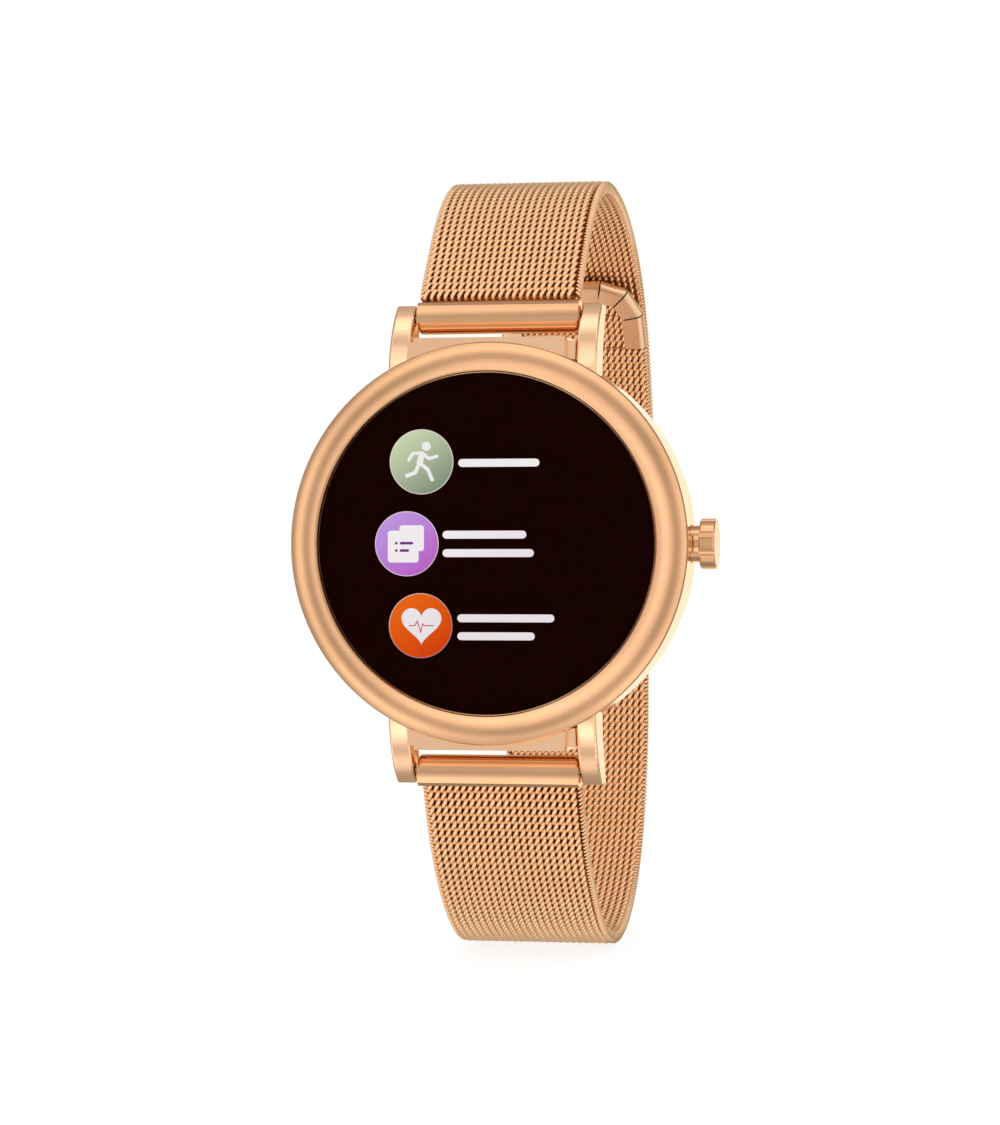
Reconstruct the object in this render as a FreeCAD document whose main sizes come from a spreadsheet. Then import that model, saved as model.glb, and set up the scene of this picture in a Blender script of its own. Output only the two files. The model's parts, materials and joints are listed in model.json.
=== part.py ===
import FreeCAD, Part
import math
import os

import Sketcher

# Round smartwatch with a milanese mesh strap, closed by a sliding clasp.
#
# Frame: X to the crown side, Y from the display towards the wrist, Z towards twelve o'clock.
# The origin is the centre of the sensor window's flat outer face, which rests on the wrist.
# All lengths are in millimetres and all angles in degrees.

os.makedirs("parts", exist_ok=True)
doc = FreeCAD.newDocument("smartwatch")
V = FreeCAD.Vector


# ---------------------------------------------------------------- driving dimensions

DIMENSIONS = {
    # case, from the display side to the wrist side
    "case_radius": 21.36, "case_bore": 19.5, "case_front": -9.6, "case_back": -1.45,
    "bezel_radius": 21.47, "bezel_dome": 6.2, "bezel_opening": 18.2, "bezel_top": -11.66,
    "glass_radius": 18.12, "glass_back": -10.86, "display_radius": 17.4, "display_back": -10.16,
    "ledge_radius": 17.5, "ledge_front": -10.66, "spigot_inner": 18.1, "spigot_back": -8.9,
    "rebate_radius": 20.0, "rebate_front": -2.45, "shelf_radius": 17.0, "shelf_front": -3.65,
    "cover_radius": 19.85, "cover_front": -2.25, "window_radius": 10.0, "window_seat": 8.2,
    "window_front": -0.95, "screw_circle": 17.95, "frame_radius": 17.9, "frame_bore": 16.9,
    "deck_front": -7.5, "deck_back": -6.9, "board_radius": 16.4, "board_front": -8.3,
    # lugs and the blocks between them
    "lug_inner": 9.1, "lug_width": 2.2, "lug_root": 17.4, "lug_shoulder": 20.5, "lug_tip": 25.9,
    "lug_front": -7.7, "lug_tip_front": -3.0, "lug_curve": 11.0, "lug_tip_back": -0.7,
    "block_half": 8.2, "block_face": 22.0, "block_root": 19.6, "block_front": -9.0,
    "web_face": 21.6, "web_front": -7.9,
    # spring bars
    "bar_depth": -2.6, "bar_height": 24.45, "barrel_half": 8.7, "barrel_radius": 0.75,
    "barrel_bore": 0.5, "pin_radius": 0.42, "pin_inner": 7.4, "pin_tip": 10.25, "lug_hole": 0.45,
    "lug_hole_end": 10.4, "sleeve_half": 8.85, "sleeve_radius": 1.7, "sleeve_bore": 0.8,
    # crown
    "crown_depth": -5.4, "knob_inner": 22.3, "knob_outer": 24.0, "knob_radius": 2.72,
    "knob_neck": 1.95, "knob_skirt": 21.2, "knob_recess": 1.5, "recess_end": 23.0,
    "tube_radius": 1.42, "tube_bore": 0.85, "tube_end": 22.5, "stem_radius": 0.8,
    "stem_inner": 16.2, "stem_end": 23.6,
    # mesh strap
    "mesh_half": 8.9, "mesh_thick": 1.5, "tip_reach": 9.6, "tip_mesh_thick": 1.1,
    # clasp
    "clasp_half": 9.65, "clasp_low": -12.0, "clasp_high": 5.0, "tunnel_half": 9.05,
    "tunnel_inner": 47.7, "tunnel_outer": 49.5, "clasp_inner": 47.1, "clasp_outer": 50.1,
    "hinge_depth": 52.85, "hinge_height": -10.0, "hook_depth": 52.8, "hook_height": 4.4,
    "hook_radius": 0.8, "lever_inner": 54.25, "lever_outer": 54.95,
}

sheet = doc.addObject("Spreadsheet::Sheet", "Sizes")
for row, (name, number) in enumerate(DIMENSIONS.items(), start=1):
    sheet.set(f"A{row}", name)
    sheet.set(f"B{row}", str(number))
    sheet.setAlias(f"B{row}", name)
doc.recompute()


class Length:
    """A length that carries both its value and the expression that binds it to the sheet."""

    def __init__(self, value, text):
        self.value = value
        self.text = text

    def _join(self, sign, other, value, swap=False):
        mine = self.text
        theirs = other.text if isinstance(other, Length) else f"{other:.6f}"
        first, second = (theirs, mine) if swap else (mine, theirs)
        return Length(value, f"({first} {sign} {second})")

    def __add__(self, other):
        return self._join("+", other, self.value + number_of(other))

    def __sub__(self, other):
        return self._join("-", other, self.value - number_of(other))

    def __mul__(self, other):
        return self._join("*", other, self.value * number_of(other))

    def __rmul__(self, other):
        return self._join("*", other, self.value * number_of(other), swap=True)

    def __radd__(self, other):
        return self._join("+", other, self.value + number_of(other), swap=True)

    def __rsub__(self, other):
        return self._join("-", other, number_of(other) - self.value, swap=True)

    def __neg__(self):
        return Length(-self.value, f"(-1 * {self.text})")


def number_of(length):
    """The plain number of a Length or of a number."""
    return length.value if isinstance(length, Length) else float(length)


def size(name):
    """A driving dimension, bound to its cell."""
    return Length(float(sheet.get(name)), f"Sizes.{name}")


S = {name: size(name) for name in DIMENSIONS}


def bind(thing, path, length):
    """Bind one property of an object to a length's expression."""
    if isinstance(length, Length):
        thing.setExpression(path, length.text)


# ---------------------------------------------------------------- building blocks

PARTS = {}          # label -> the document object that is written out


def keep(label, thing):
    """Give a finished sub-part its label and list it for export."""
    thing.Label = label
    PARTS[label] = thing
    return thing


def place(thing, x=0.0, y=0.0, z=0.0, rotation=None):
    """Set an object's Placement, and bind its base point where that is a Length."""
    thing.Placement = FreeCAD.Placement(V(number_of(x), number_of(y), number_of(z)),
                                        rotation or FreeCAD.Rotation())
    for axis, length in (("x", x), ("y", y), ("z", z)):
        bind(thing, f".Placement.Base.{axis}", length)
    return thing


TURNS = {"x": FreeCAD.Rotation(V(0, 1, 0), 90), "y": FreeCAD.Rotation(V(1, 0, 0), -90),
         "z": FreeCAD.Rotation()}


def rod(name, radius, length, axis, x=0.0, y=0.0, z=0.0):
    """A cylinder from (x, y, z) along the positive direction of an axis."""
    thing = doc.addObject("Part::Cylinder", name)
    thing.Radius, thing.Height = number_of(radius), number_of(length)
    bind(thing, "Radius", radius)
    bind(thing, "Height", length)
    return place(thing, x, y, z, TURNS[axis])


def block(name, low, high):
    """A box between two corners."""
    thing = doc.addObject("Part::Box", name)
    for prop, a, b in zip(("Length", "Width", "Height"), low, high):
        extent = b - a
        setattr(thing, prop, number_of(extent))
        bind(thing, prop, extent)
    return place(thing, *low)


def cut(name, base, tool):
    """The base without the tool."""
    thing = doc.addObject("Part::Cut", name)
    thing.Base, thing.Tool = base, tool
    return thing


def fuse(name, pieces):
    """One solid from several that touch or overlap."""
    thing = doc.addObject("Part::MultiFuse", name)
    thing.Shapes = pieces
    return thing


def group(name, pieces):
    """Several separate solids in one node."""
    thing = doc.addObject("Part::Compound", name)
    thing.Links = pieces
    return thing


def tube(name, outer, inner, length, axis, x=0.0, y=0.0, z=0.0):
    """A hollow cylinder."""
    return cut(name, rod(name + "_outside", outer, length, axis, x, y, z),
               rod(name + "_inside", inner, length, axis, x, y, z))


def rounded(name, base, rounding, wanted):
    """A copy with every wanted edge rounded."""
    thing = doc.addObject("Part::Fillet", name)
    thing.Base = base
    doc.recompute()
    thing.Edges = [(k, rounding, rounding) for k, edge in enumerate(base.Shape.Edges, start=1)
                   if wanted(edge)]
    return thing


def rounded_rod(name, radius, length, rounding, x=0.0, y=0.0, z=0.0):
    """A cylinder along X with rounded rims."""
    return rounded(name, rod(name + "_core", radius, length, "x", x, y, z), rounding,
                   lambda edge: isinstance(edge.Curve, Part.Circle))


def at_depth(depth):
    """Tells whether an edge lies at a depth, all along."""
    return lambda edge: all(abs(vertex.Y - depth) < 1e-4 for vertex in edge.Vertexes)


def plane_of(body, role):
    """One of a body's own origin planes or axes."""
    return next(f for f in body.Origin.OriginFeatures if f.Role == role)


def sketch_on(body, role, offset=0.0):
    """An empty sketch on a body's origin plane, moved along its normal by offset."""
    sketch = body.newObject("Sketcher::SketchObject", body.Name + "_profile")
    sketch.AttachmentSupport = [(plane_of(body, role), "")]
    sketch.MapMode = "FlatFace"
    sketch.AttachmentOffset = FreeCAD.Placement(V(0, 0, number_of(offset)), FreeCAD.Rotation())
    bind(sketch, ".AttachmentOffset.Base.z", offset)
    return sketch


def pin_point(sketch, edge, end, u, v):
    """Fix one end of a sketch edge at (u, v), bound to the sheet."""
    for kind, length in (("DistanceX", u), ("DistanceY", v)):
        index = sketch.addConstraint(
            Sketcher.Constraint(kind, -1, 1, edge, end, number_of(length)))
        bind(sketch, f"Constraints[{index}]", length)


def outline(body, role, points, offset=0.0):
    """A closed outline. A point is (u, v), or (u, v, radius) where a bulging arc leads to it."""
    sketch = sketch_on(body, role, offset)
    count = len(points)
    for k in range(count):
        start, end = points[k - 1], points[k]
        a = V(number_of(start[0]), number_of(start[1]), 0)
        b = V(number_of(end[0]), number_of(end[1]), 0)
        if len(end) > 2:
            bend = number_of(end[2])
            half = (b - a).Length / 2
            rise = abs(bend) - math.sqrt(bend * bend - half * half)
            side = V(-(b - a).y, (b - a).x, 0).normalize() * math.copysign(rise, bend)
            sketch.addGeometry(Part.Arc(a, (a + b) * 0.5 + side, b), False)
        else:
            sketch.addGeometry(Part.LineSegment(a, b), False)
    for k in range(count):
        here, after = points[k], (k + 1) % count
        lead = len(here) > 2
        # an arc's end points swap when it turns clockwise
        end = 1 if lead and number_of(here[2]) > 0 else 2
        begin = 2 if len(points[after]) > 2 and number_of(points[after][2]) > 0 else 1
        sketch.addConstraint(Sketcher.Constraint("Coincident", k, end, after, begin))
        pin_point(sketch, k, end, here[0], here[1])
        if lead:
            index = sketch.addConstraint(Sketcher.Constraint("Radius", k, abs(number_of(here[2]))))
            if isinstance(here[2], Length):
                bind(sketch, f"Constraints[{index}]", here[2] if here[2].value > 0 else -here[2])
    return sketch


def circles(body, role, centres, radius, offset=0.0):
    """A sketch of equal circles."""
    sketch = sketch_on(body, role, offset)
    for k, (u, v) in enumerate(centres):
        circle = Part.Circle(V(number_of(u), number_of(v), 0), V(0, 0, 1), number_of(radius))
        sketch.addGeometry(circle, False)
        pin_point(sketch, k, 3, u, v)
        index = sketch.addConstraint(Sketcher.Constraint("Radius", k, number_of(radius)))
        bind(sketch, f"Constraints[{index}]", radius)
    return sketch


def new_body(name):
    """An empty PartDesign body."""
    return doc.addObject("PartDesign::Body", name)


def revolve(body, points, angle=360.0):
    """Add an (r, y) outline turned about the watch's Y axis."""
    feature = body.newObject("PartDesign::Revolution", body.Name + "_turned")
    feature.Profile = outline(body, "XY_Plane", points)
    feature.ReferenceAxis = (plane_of(body, "Y_Axis"), [""])
    feature.Angle = angle
    return feature


def pad(body, sketch, length, reverse=False):
    """Raise a sketch along its normal."""
    feature = body.newObject("PartDesign::Pad", body.Name + "_raised")
    feature.Profile = sketch
    feature.Length = number_of(length)
    bind(feature, "Length", length)
    feature.Reversed = reverse
    return feature


def pocket(body, sketch, length, reverse):
    """Cut a sketch out of the body, and check that it takes material away."""
    doc.recompute()
    before = body.Shape.Volume
    feature = body.newObject("PartDesign::Pocket", body.Name + "_pocket")
    feature.Profile = sketch
    feature.Length = number_of(length)
    bind(feature, "Length", length)
    feature.Reversed = reverse
    doc.recompute()
    if body.Shape.Volume > before - 1e-3:
        raise RuntimeError(f"a pocket of {body.Name} cuts nothing")
    return feature


def around(body, features, count):
    """Repeat features evenly about the watch's Y axis."""
    pattern = body.newObject("PartDesign::PolarPattern", body.Name + "_around")
    pattern.Originals = features
    pattern.Axis = (plane_of(body, "Y_Axis"), [""])
    pattern.Angle = 360
    pattern.Occurrences = count
    body.Tip = pattern
    return pattern


def ring(label, outer, inner, front, back):
    """A flat ring about the watch's axis, between two depths."""
    body = new_body(label)
    revolve(body, [(inner, front), (outer, front), (outer, back), (inner, back)])
    return keep(label, body)


def disc(label, radius, front, back, x=0.0, z=0.0):
    """A flat disc, between two depths."""
    return keep(label, rod(label, radius, back - front, "y", x, front, z))


ENDS = (("upper", 1), ("lower", -1))
SIDES = (("left", -1), ("right", 1))


# ---------------------------------------------------------------- case

def make_lug(end, up, side, way):
    """One lug: an arched plate whose front and tip edges are rounded."""
    lug = new_body(f"lug_{end}_{side}")
    start = S["lug_inner"] if way > 0 else -S["lug_inner"] - S["lug_width"]
    plate = pad(lug, outline(lug, "YZ_Plane", [
        (S["lug_front"], up * S["lug_root"]),
        (S["lug_tip_front"], up * S["lug_tip"], up * S["lug_curve"]),
        (S["lug_tip_back"], up * S["lug_tip"]),
        (S["case_back"] - 1.4, up * S["lug_shoulder"]),
        (S["case_back"] - 1.6, up * S["lug_root"])], start), S["lug_width"])
    doc.recompute()
    tip = number_of(S["lug_tip"])
    edges = []
    for k, edge in enumerate(plate.Shape.Edges, start=1):
        at_tip = all(abs(abs(vertex.Z) - tip) < 1e-4 for vertex in edge.Vertexes)
        along_x = abs(edge.Vertexes[0].X - edge.Vertexes[-1].X) > 0.1
        behind = edge.CenterOfMass.y > number_of(S["lug_tip_back"]) - 0.1
        if isinstance(edge.Curve, Part.Circle) or (at_tip and not (along_x and behind)):
            edges.append(f"Edge{k}")
    rounding = lug.newObject("PartDesign::Fillet", f"lug_{end}_{side}_edges")
    rounding.Base = (plate, edges)
    rounding.Radius = 0.28
    return lug


def make_mid_case():
    """The case's middle: a turned ring with four lugs, two flank blocks and the crown's bore."""
    ring_body = new_body("case_ring")
    bevel, seam, seam_depth = 0.75, 0.16, 0.3
    revolve(ring_body, [
        (S["case_bore"], S["case_front"]), (S["case_radius"] - seam_depth, S["case_front"]),
        (S["case_radius"] - seam_depth, S["case_front"] + seam),
        (S["case_radius"], S["case_front"] + seam), (S["case_radius"], S["case_back"] - 1.15),
        (S["case_radius"] - bevel, S["case_back"], -1.6),
        (S["rebate_radius"], S["case_back"]), (S["rebate_radius"], S["rebate_front"]),
        (S["shelf_radius"], S["rebate_front"]), (S["shelf_radius"], S["shelf_front"]),
        (S["case_bore"], S["shelf_front"])])
    pieces, tools = [ring_body], []
    for end, up in ENDS:
        pieces += [make_lug(end, up, side, way) for side, way in SIDES]
        # the flank's block, and behind it a web that closes the gaps beside it
        for name, half, front, back, face in (
                ("block", S["block_half"], S["block_front"], 0.1, S["block_face"]),
                ("web", S["lug_inner"], S["web_front"], 0.3, S["web_face"])):
            low, high = (S["block_root"], face) if up > 0 else (-face, -S["block_root"])
            pieces.append(block(f"{end}_{name}", (-half, front, low),
                                (half, S["rebate_front"] - back, high)))
        tools.append(rod(f"{end}_bar_holes", S["lug_hole"], S["lug_hole_end"] * 2, "x",
                         -S["lug_hole_end"], S["bar_depth"], up * S["bar_height"]))
    tools.append(rod("crown_bore", S["tube_radius"] + 0.02, 4.0, "x", S["case_bore"] - 1,
                     S["crown_depth"]))
    tools.append(rod("crown_seat", S["knob_neck"] + 0.1, 1.6, "x", S["knob_skirt"] - 0.45,
                     S["crown_depth"]))
    for k in range(4):
        x = S["screw_circle"] * round(math.cos(k * math.pi / 2))
        z = S["screw_circle"] * round(math.sin(k * math.pi / 2))
        tools.append(rod(f"case_screw_hole_{k}", 0.5, 1.45, "y", x, S["rebate_front"] - 1.35, z))
    keep("mid_case", cut("mid_case", fuse("case_blank", pieces), fuse("case_tools", tools)))


def make_front():
    """Bezel, glass, gasket, display and its ribbon."""
    bezel = new_body("bezel_ring")
    lip, lip_depth, edge = 0.26, 0.21, 0.45
    revolve(bezel, [
        (S["bezel_opening"], S["bezel_top"] + lip_depth),
        (S["bezel_opening"] + lip, S["bezel_top"]),
        (S["bezel_radius"] - 0.134, S["case_front"] - 0.44, -S["bezel_dome"]),
        (S["bezel_radius"], S["case_front"] - 0.12, -edge),
        (S["bezel_radius"], S["case_front"]), (S["case_bore"] - 0.05, S["case_front"]),
        (S["case_bore"] - 0.05, S["spigot_back"]), (S["spigot_inner"], S["spigot_back"]),
        (S["spigot_inner"], S["case_front"] - 0.2), (S["ledge_radius"], S["case_front"] - 0.2),
        (S["ledge_radius"], S["ledge_front"]), (S["bezel_opening"], S["ledge_front"])])
    keep("bezel_ring", bezel)

    glass = new_body("cover_glass")
    revolve(glass, [
        (0.0, S["bezel_top"]), (S["glass_radius"] - 0.25, S["bezel_top"]),
        (S["glass_radius"], S["bezel_top"] + 0.2), (S["glass_radius"], S["glass_back"]),
        (0.0, S["glass_back"])])
    keep("cover_glass", glass)

    ring("glass_gasket", S["glass_radius"] - 0.02, S["ledge_radius"] + 0.02,
         S["glass_back"], S["ledge_front"])
    disc("display_panel", S["display_radius"], S["glass_back"], S["display_back"])

    # the ribbon folds down from the display's lower edge and back under it onto the board
    ribbon, thick, fold = new_body("display_ribbon"), 0.15, -15.0
    inside = outline(ribbon, "YZ_Plane", [
        (S["display_back"], fold), (S["board_front"], fold), (S["board_front"], fold + 3.0),
        (S["board_front"] - thick, fold + 3.0), (S["board_front"] - thick, fold + thick),
        (S["display_back"] + thick, fold + thick), (S["display_back"] + thick, fold + 5.0),
        (S["display_back"], fold + 5.0)], -3.0)
    pad(ribbon, inside, 6.0)
    keep("display_ribbon", ribbon)


def make_back():
    """Back cover, gasket, screws and the sensor window."""
    cover = new_body("back_cover")
    rim, step = 0.35, 1.0
    revolve(cover, [
        (S["window_seat"], S["cover_front"]), (S["cover_radius"], S["cover_front"]),
        (S["cover_radius"], S["case_back"]),
        (S["window_radius"] + step, -rim, -60.0), (S["window_radius"] + 0.05, -rim),
        (S["window_radius"] + 0.05, S["window_front"]), (S["window_seat"], S["window_front"])])
    head_seat, head_radius, shank_radius = -1.75, 0.98, 0.5
    first_screw = [(S["screw_circle"], 0.0)]
    seat = pocket(cover, circles(cover, "XZ_Plane", first_screw, head_radius, -head_seat),
                  2.0, False)
    hole = pocket(cover, circles(cover, "XZ_Plane", first_screw, shank_radius, 0.5), 4.0, True)
    around(cover, [seat, hole], 4)
    keep("back_cover", cover)

    ring("back_gasket", S["rebate_radius"] - 0.35, S["screw_circle"] + 1.0,
         S["rebate_front"], S["cover_front"])

    screws = []
    for k in range(4):
        x = S["screw_circle"] * round(math.cos(k * math.pi / 2))
        z = S["screw_circle"] * round(math.sin(k * math.pi / 2))
        head = rod(f"back_screw_head_{k}", 0.93, 0.5, "y", x, head_seat, z)
        shank = rod(f"back_screw_shank_{k}", 0.5, 1.9, "y", x, head_seat - 1.9, z)
        slot = block(f"back_screw_slot_{k}", (x - 0.7, head_seat + 0.25, z - 0.13),
                     (x + 0.7, head_seat + 0.6, z + 0.13))
        screws.append(cut(f"back_screw_{k}", fuse(f"back_screw_blank_{k}", [head, shank]), slot))
    keep("back_screws", group("back_screws", screws))

    window = new_body("sensor_window")
    revolve(window, [
        (0.0, S["window_front"]), (S["window_radius"], S["window_front"]),
        (S["window_radius"], -0.35), (S["window_radius"] - 0.4, 0.0), (0.0, 0.0)])
    keep("sensor_window", window)


def make_sensors():
    """Sensor board with its light sources and receivers, charging coil and magnet ring."""
    board_back = -2.0
    disc("sensor_board", S["window_seat"] - 0.3, -2.6, board_back)
    leds = [block(f"led_{k}", (x - 0.6, board_back, z - 0.6), (x + 0.6, board_back + 0.6, z + 0.6))
            for k, (x, z) in enumerate(((-1.3, 0), (1.3, 0), (0, -2.6), (0, 2.6)))]
    keep("sensor_leds", group("sensor_leds", leds))
    receivers = [block(f"receiver_{k}", (x - 1.0, board_back, z - 1.3),
                       (x + 1.0, board_back + 0.5, z + 1.3))
                 for k, (x, z) in enumerate(((-4.6, 0), (4.6, 0)))]
    keep("sensor_receivers", group("sensor_receivers", receivers))
    ring("charging_coil", 15.5, 10.6, -3.1, -2.5)
    ring("charging_magnet", 10.3, 8.6, -3.2, -2.3)


def make_inside():
    """Frame, main board, chips, battery, antenna and frame screws."""
    frame = new_body("inner_frame")
    revolve(frame, [
        (S["board_radius"] + 0.5, S["case_front"] + 0.1), (S["frame_radius"], S["case_front"] + 0.1),
        (S["frame_radius"], S["shelf_front"]), (S["frame_bore"], S["shelf_front"]),
        (S["frame_bore"], S["deck_back"]), (0.0, S["deck_back"]), (0.0, S["deck_front"]),
        (S["board_radius"] + 0.5, S["deck_front"])])
    stem_window = circles(frame, "YZ_Plane", [(S["crown_depth"], 0.0)], 1.6, 14.0)
    pocket(frame, stem_window, 5.0, True)
    boss_circle, pilot, clearance = 14.6, 0.4, 0.55
    low = circles(frame, "XZ_Plane", [(0.0, boss_circle)], pilot, 6.0)
    first = pocket(frame, low, 3.0, True)
    around(frame, [first], 3)
    keep("inner_frame", frame)

    board = new_body("main_board")
    revolve(board, [(0.0, S["board_front"]), (S["board_radius"], S["board_front"]),
                    (S["board_radius"], S["deck_front"]), (0.0, S["deck_front"])])
    holes = pocket(board, circles(board, "XZ_Plane", [(0.0, boss_circle)], clearance, 7.0),
                   3.0, True)
    around(board, [holes], 3)
    keep("main_board", board)

    front = S["board_front"]
    chips = [block(f"chip_{k}", (x, front - tall, z), (x + wide, front, z + high))
             for k, (x, z, wide, high, tall) in enumerate((
                 (-8.0, -4.0, 9.0, 9.0, 1.2), (3.0, 1.0, 6.5, 5.5, 0.9), (3.0, -6.0, 5.0, 5.0, 0.8),
                 (-5.5, 7.0, 4.0, 3.0, 0.7), (-13.0, -2.0, 3.0, 4.0, 0.6)))]
    keep("board_chips", group("board_chips", chips))

    screws = []
    for k in range(3):
        turn = math.radians(90 + 120 * k)
        x, z = boss_circle * math.cos(turn), boss_circle * math.sin(turn)
        head = rod(f"frame_screw_head_{k}", 0.9, 0.5, "y", x, front - 0.5, z)
        shank = rod(f"frame_screw_shank_{k}", pilot, 1.9, "y", x, front - 0.1, z)
        slot = block(f"frame_screw_slot_{k}", (x - 0.65, front - 0.6, z - 0.12),
                     (x + 0.65, front - 0.25, z + 0.12))
        screws.append(cut(f"frame_screw_{k}", fuse(f"frame_screw_blank_{k}", [head, shank]), slot))
    keep("frame_screws", group("frame_screws", screws))

    cell = new_body("battery")
    corner = [(-11.5, -5.5), (9.5, -5.5), (9.5, 11.0), (-11.5, 11.0)]
    slab = pad(cell, outline(cell, "XZ_Plane", corner, 3.9), 2.8)
    doc.recompute()
    upright = [f"Edge{k}" for k, edge in enumerate(slab.Shape.Edges, start=1)
               if abs(edge.tangentAt(edge.FirstParameter).y) > 0.99]
    rounding = cell.newObject("PartDesign::Fillet", "battery_corners")
    rounding.Base = (slab, upright)
    rounding.Radius = 1.5
    keep("battery", cell)

    antenna = new_body("antenna")
    revolve(antenna, [
        (S["frame_radius"], S["spigot_back"] + 0.3), (S["frame_radius"] + 0.15, S["spigot_back"] + 0.3),
        (S["frame_radius"] + 0.15, S["spigot_back"] + 4.0), (S["frame_radius"], S["spigot_back"] + 4.0)],
        120.0)
    place(antenna, rotation=FreeCAD.Rotation(V(0, 1, 0), 100))
    keep("antenna", antenna)


def make_motor():
    """Vibration motor: a cup with a cap and a fixed shaft, and a half-round weight hung below it."""
    x, z, front, back = -2.0, -11.0, -6.6, -4.0
    cup = cut("vibration_motor_cup", rod("cup_outside", 3.9, back - front, "y", x, front, z),
              rod("cup_inside", 3.6, back - front, "y", x, front + 0.3, z))
    keep("vibration_motor_cup", cup)
    disc("vibration_motor_cap", 3.6, back - 0.3, back, x, z)
    disc("vibration_motor_shaft", 0.35, front + 0.3, back - 0.3, x, z)
    thick, low = 1.4, front + 0.6
    half = doc.addObject("Part::Common", "weight_half")
    half.Base = rod("weight_disc", 3.3, thick, "y", x, low, z)
    half.Tool = block("weight_side", (x - 4, low - 1, z - 4), (x + 4, low + 3, z - 0.4))
    hub = rod("weight_hub", 1.0, thick, "y", x, low, z)
    weight = cut("vibration_motor_weight", fuse("weight_blank", [half, hub]),
                 rod("weight_bore", 0.4, thick + 1, "y", x, low - 0.5, z))
    keep("vibration_motor_weight", weight)


# ---------------------------------------------------------------- crown

def make_crown():
    """Crown knob with its stem, seal and clip, in a tube pressed into the case, over a switch."""
    y, start = S["crown_depth"], 18.9
    flange = rod("tube_flange", 1.7, 0.4, "x", start, y)
    barrel = rod("tube_barrel", S["tube_radius"], S["tube_end"] - start, "x", start, y)
    bore = rod("tube_hole", S["tube_bore"], 5.0, "x", start - 0.5, y)
    keep("crown_tube", cut("crown_tube", fuse("tube_blank", [flange, barrel]), bore))

    # the knob has eight broad lands, parted by shallow round-bottomed grooves
    neck = rod("knob_neck", S["knob_neck"], S["knob_outer"] - S["knob_skirt"] - 0.5, "x",
               S["knob_skirt"], y)
    head = rounded_rod("knob_head", S["knob_radius"], S["knob_outer"] - S["knob_inner"], 0.25,
                       S["knob_inner"], y)
    blank = fuse("knob_blank", [head, neck])
    tools = [rod("knob_socket", S["knob_recess"], S["recess_end"] - S["knob_skirt"] + 0.5, "x",
                 S["knob_skirt"] - 0.5, y),
             rod("knob_thread", S["stem_radius"], S["stem_end"] - S["recess_end"] + 0.5, "x",
                 S["recess_end"] - 0.5, y)]
    grooves, groove_radius = 8, 0.62
    reach = number_of(S["knob_radius"]) + 0.38
    for k in range(grooves):
        turn = 2 * math.pi * (k + 0.5) / grooves
        tools.append(rod(f"knob_groove_{k}", groove_radius, 3.0, "x", S["knob_inner"] - 0.6,
                         y + reach * math.cos(turn), reach * math.sin(turn)))
    keep("crown_knob", cut("crown_knob", blank, fuse("knob_tools", tools)))

    seal_at, clip_at = 20.8, 18.3
    stem = rod("stem_rod", S["stem_radius"], S["stem_end"] - S["stem_inner"], "x", S["stem_inner"], y)
    seal_groove = tube("seal_groove", 1.2, 0.55, 0.36, "x", seal_at - 0.18, y)
    clip_groove = tube("clip_groove", 1.2, 0.5, 0.3, "x", clip_at - 0.15, y)
    keep("crown_stem", cut("crown_stem", stem, fuse("stem_grooves", [seal_groove, clip_groove])))

    seal = doc.addObject("Part::Torus", "crown_seal")
    seal.Radius1, seal.Radius2 = 0.695, 0.14
    place(seal, seal_at, y, 0, TURNS["x"])
    keep("crown_seal", seal)

    # a snap ring in the stem's inner groove, open on one side
    washer = tube("clip_washer", 1.4, 0.51, 0.28, "x", clip_at - 0.14, y)
    mouth = block("clip_mouth", (clip_at - 1, y - 0.35, 0.0), (clip_at + 1, y + 0.35, 3.0))
    keep("crown_clip", cut("crown_clip", washer, mouth))

    plunger_out, plunger_radius = S["stem_inner"], 0.6
    shell = block("switch_shell", (12.6, y - 1.3, -2.4), (15.6, y + 1.3, 2.4))
    pocket_hole = rod("switch_hole", plunger_radius + 0.05, 1.2, "x", 14.6, y)
    keep("crown_switch", cut("crown_switch", shell, pocket_hole))
    keep("switch_plunger", rod("switch_plunger", plunger_radius, plunger_out - 15.2, "x", 15.2, y))


# ---------------------------------------------------------------- spring bars

def make_spring_bars():
    """At each end of the case: a barrel with a coil spring between two pins held in the lugs."""
    wire, coil, pitch = 0.07, 0.36, 0.9
    for end, up in ENDS:
        y, z = S["bar_depth"], up * S["bar_height"]
        half = S["barrel_half"]
        keep(f"{end}_bar_barrel", tube(f"{end}_bar_barrel", S["barrel_radius"], S["barrel_bore"],
                                       2 * half, "x", -half, y, z))
        for side, way in SIDES:
            span = S["pin_tip"] - S["pin_inner"]
            start = S["pin_inner"] if way > 0 else -S["pin_tip"]
            keep(f"{end}_bar_pin_{side}",
                 rod(f"{end}_bar_pin_{side}", S["pin_radius"], span, "x", start, y, z))
        length = 2 * (DIMENSIONS["pin_inner"] - 0.1)
        helix = Part.makeHelix(pitch, length, coil)
        section = Part.Wire(Part.makeCircle(wire, V(coil, 0, 0), V(0, 1, 0)))
        spring = doc.addObject("Part::Feature", f"{end}_bar_spring")
        spring.Shape = Part.Wire(helix).makePipeShell([section], True, True)
        place(spring, -length / 2, y, z, TURNS["x"])
        keep(f"{end}_bar_spring", spring)


# ---------------------------------------------------------------- mesh strap

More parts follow.
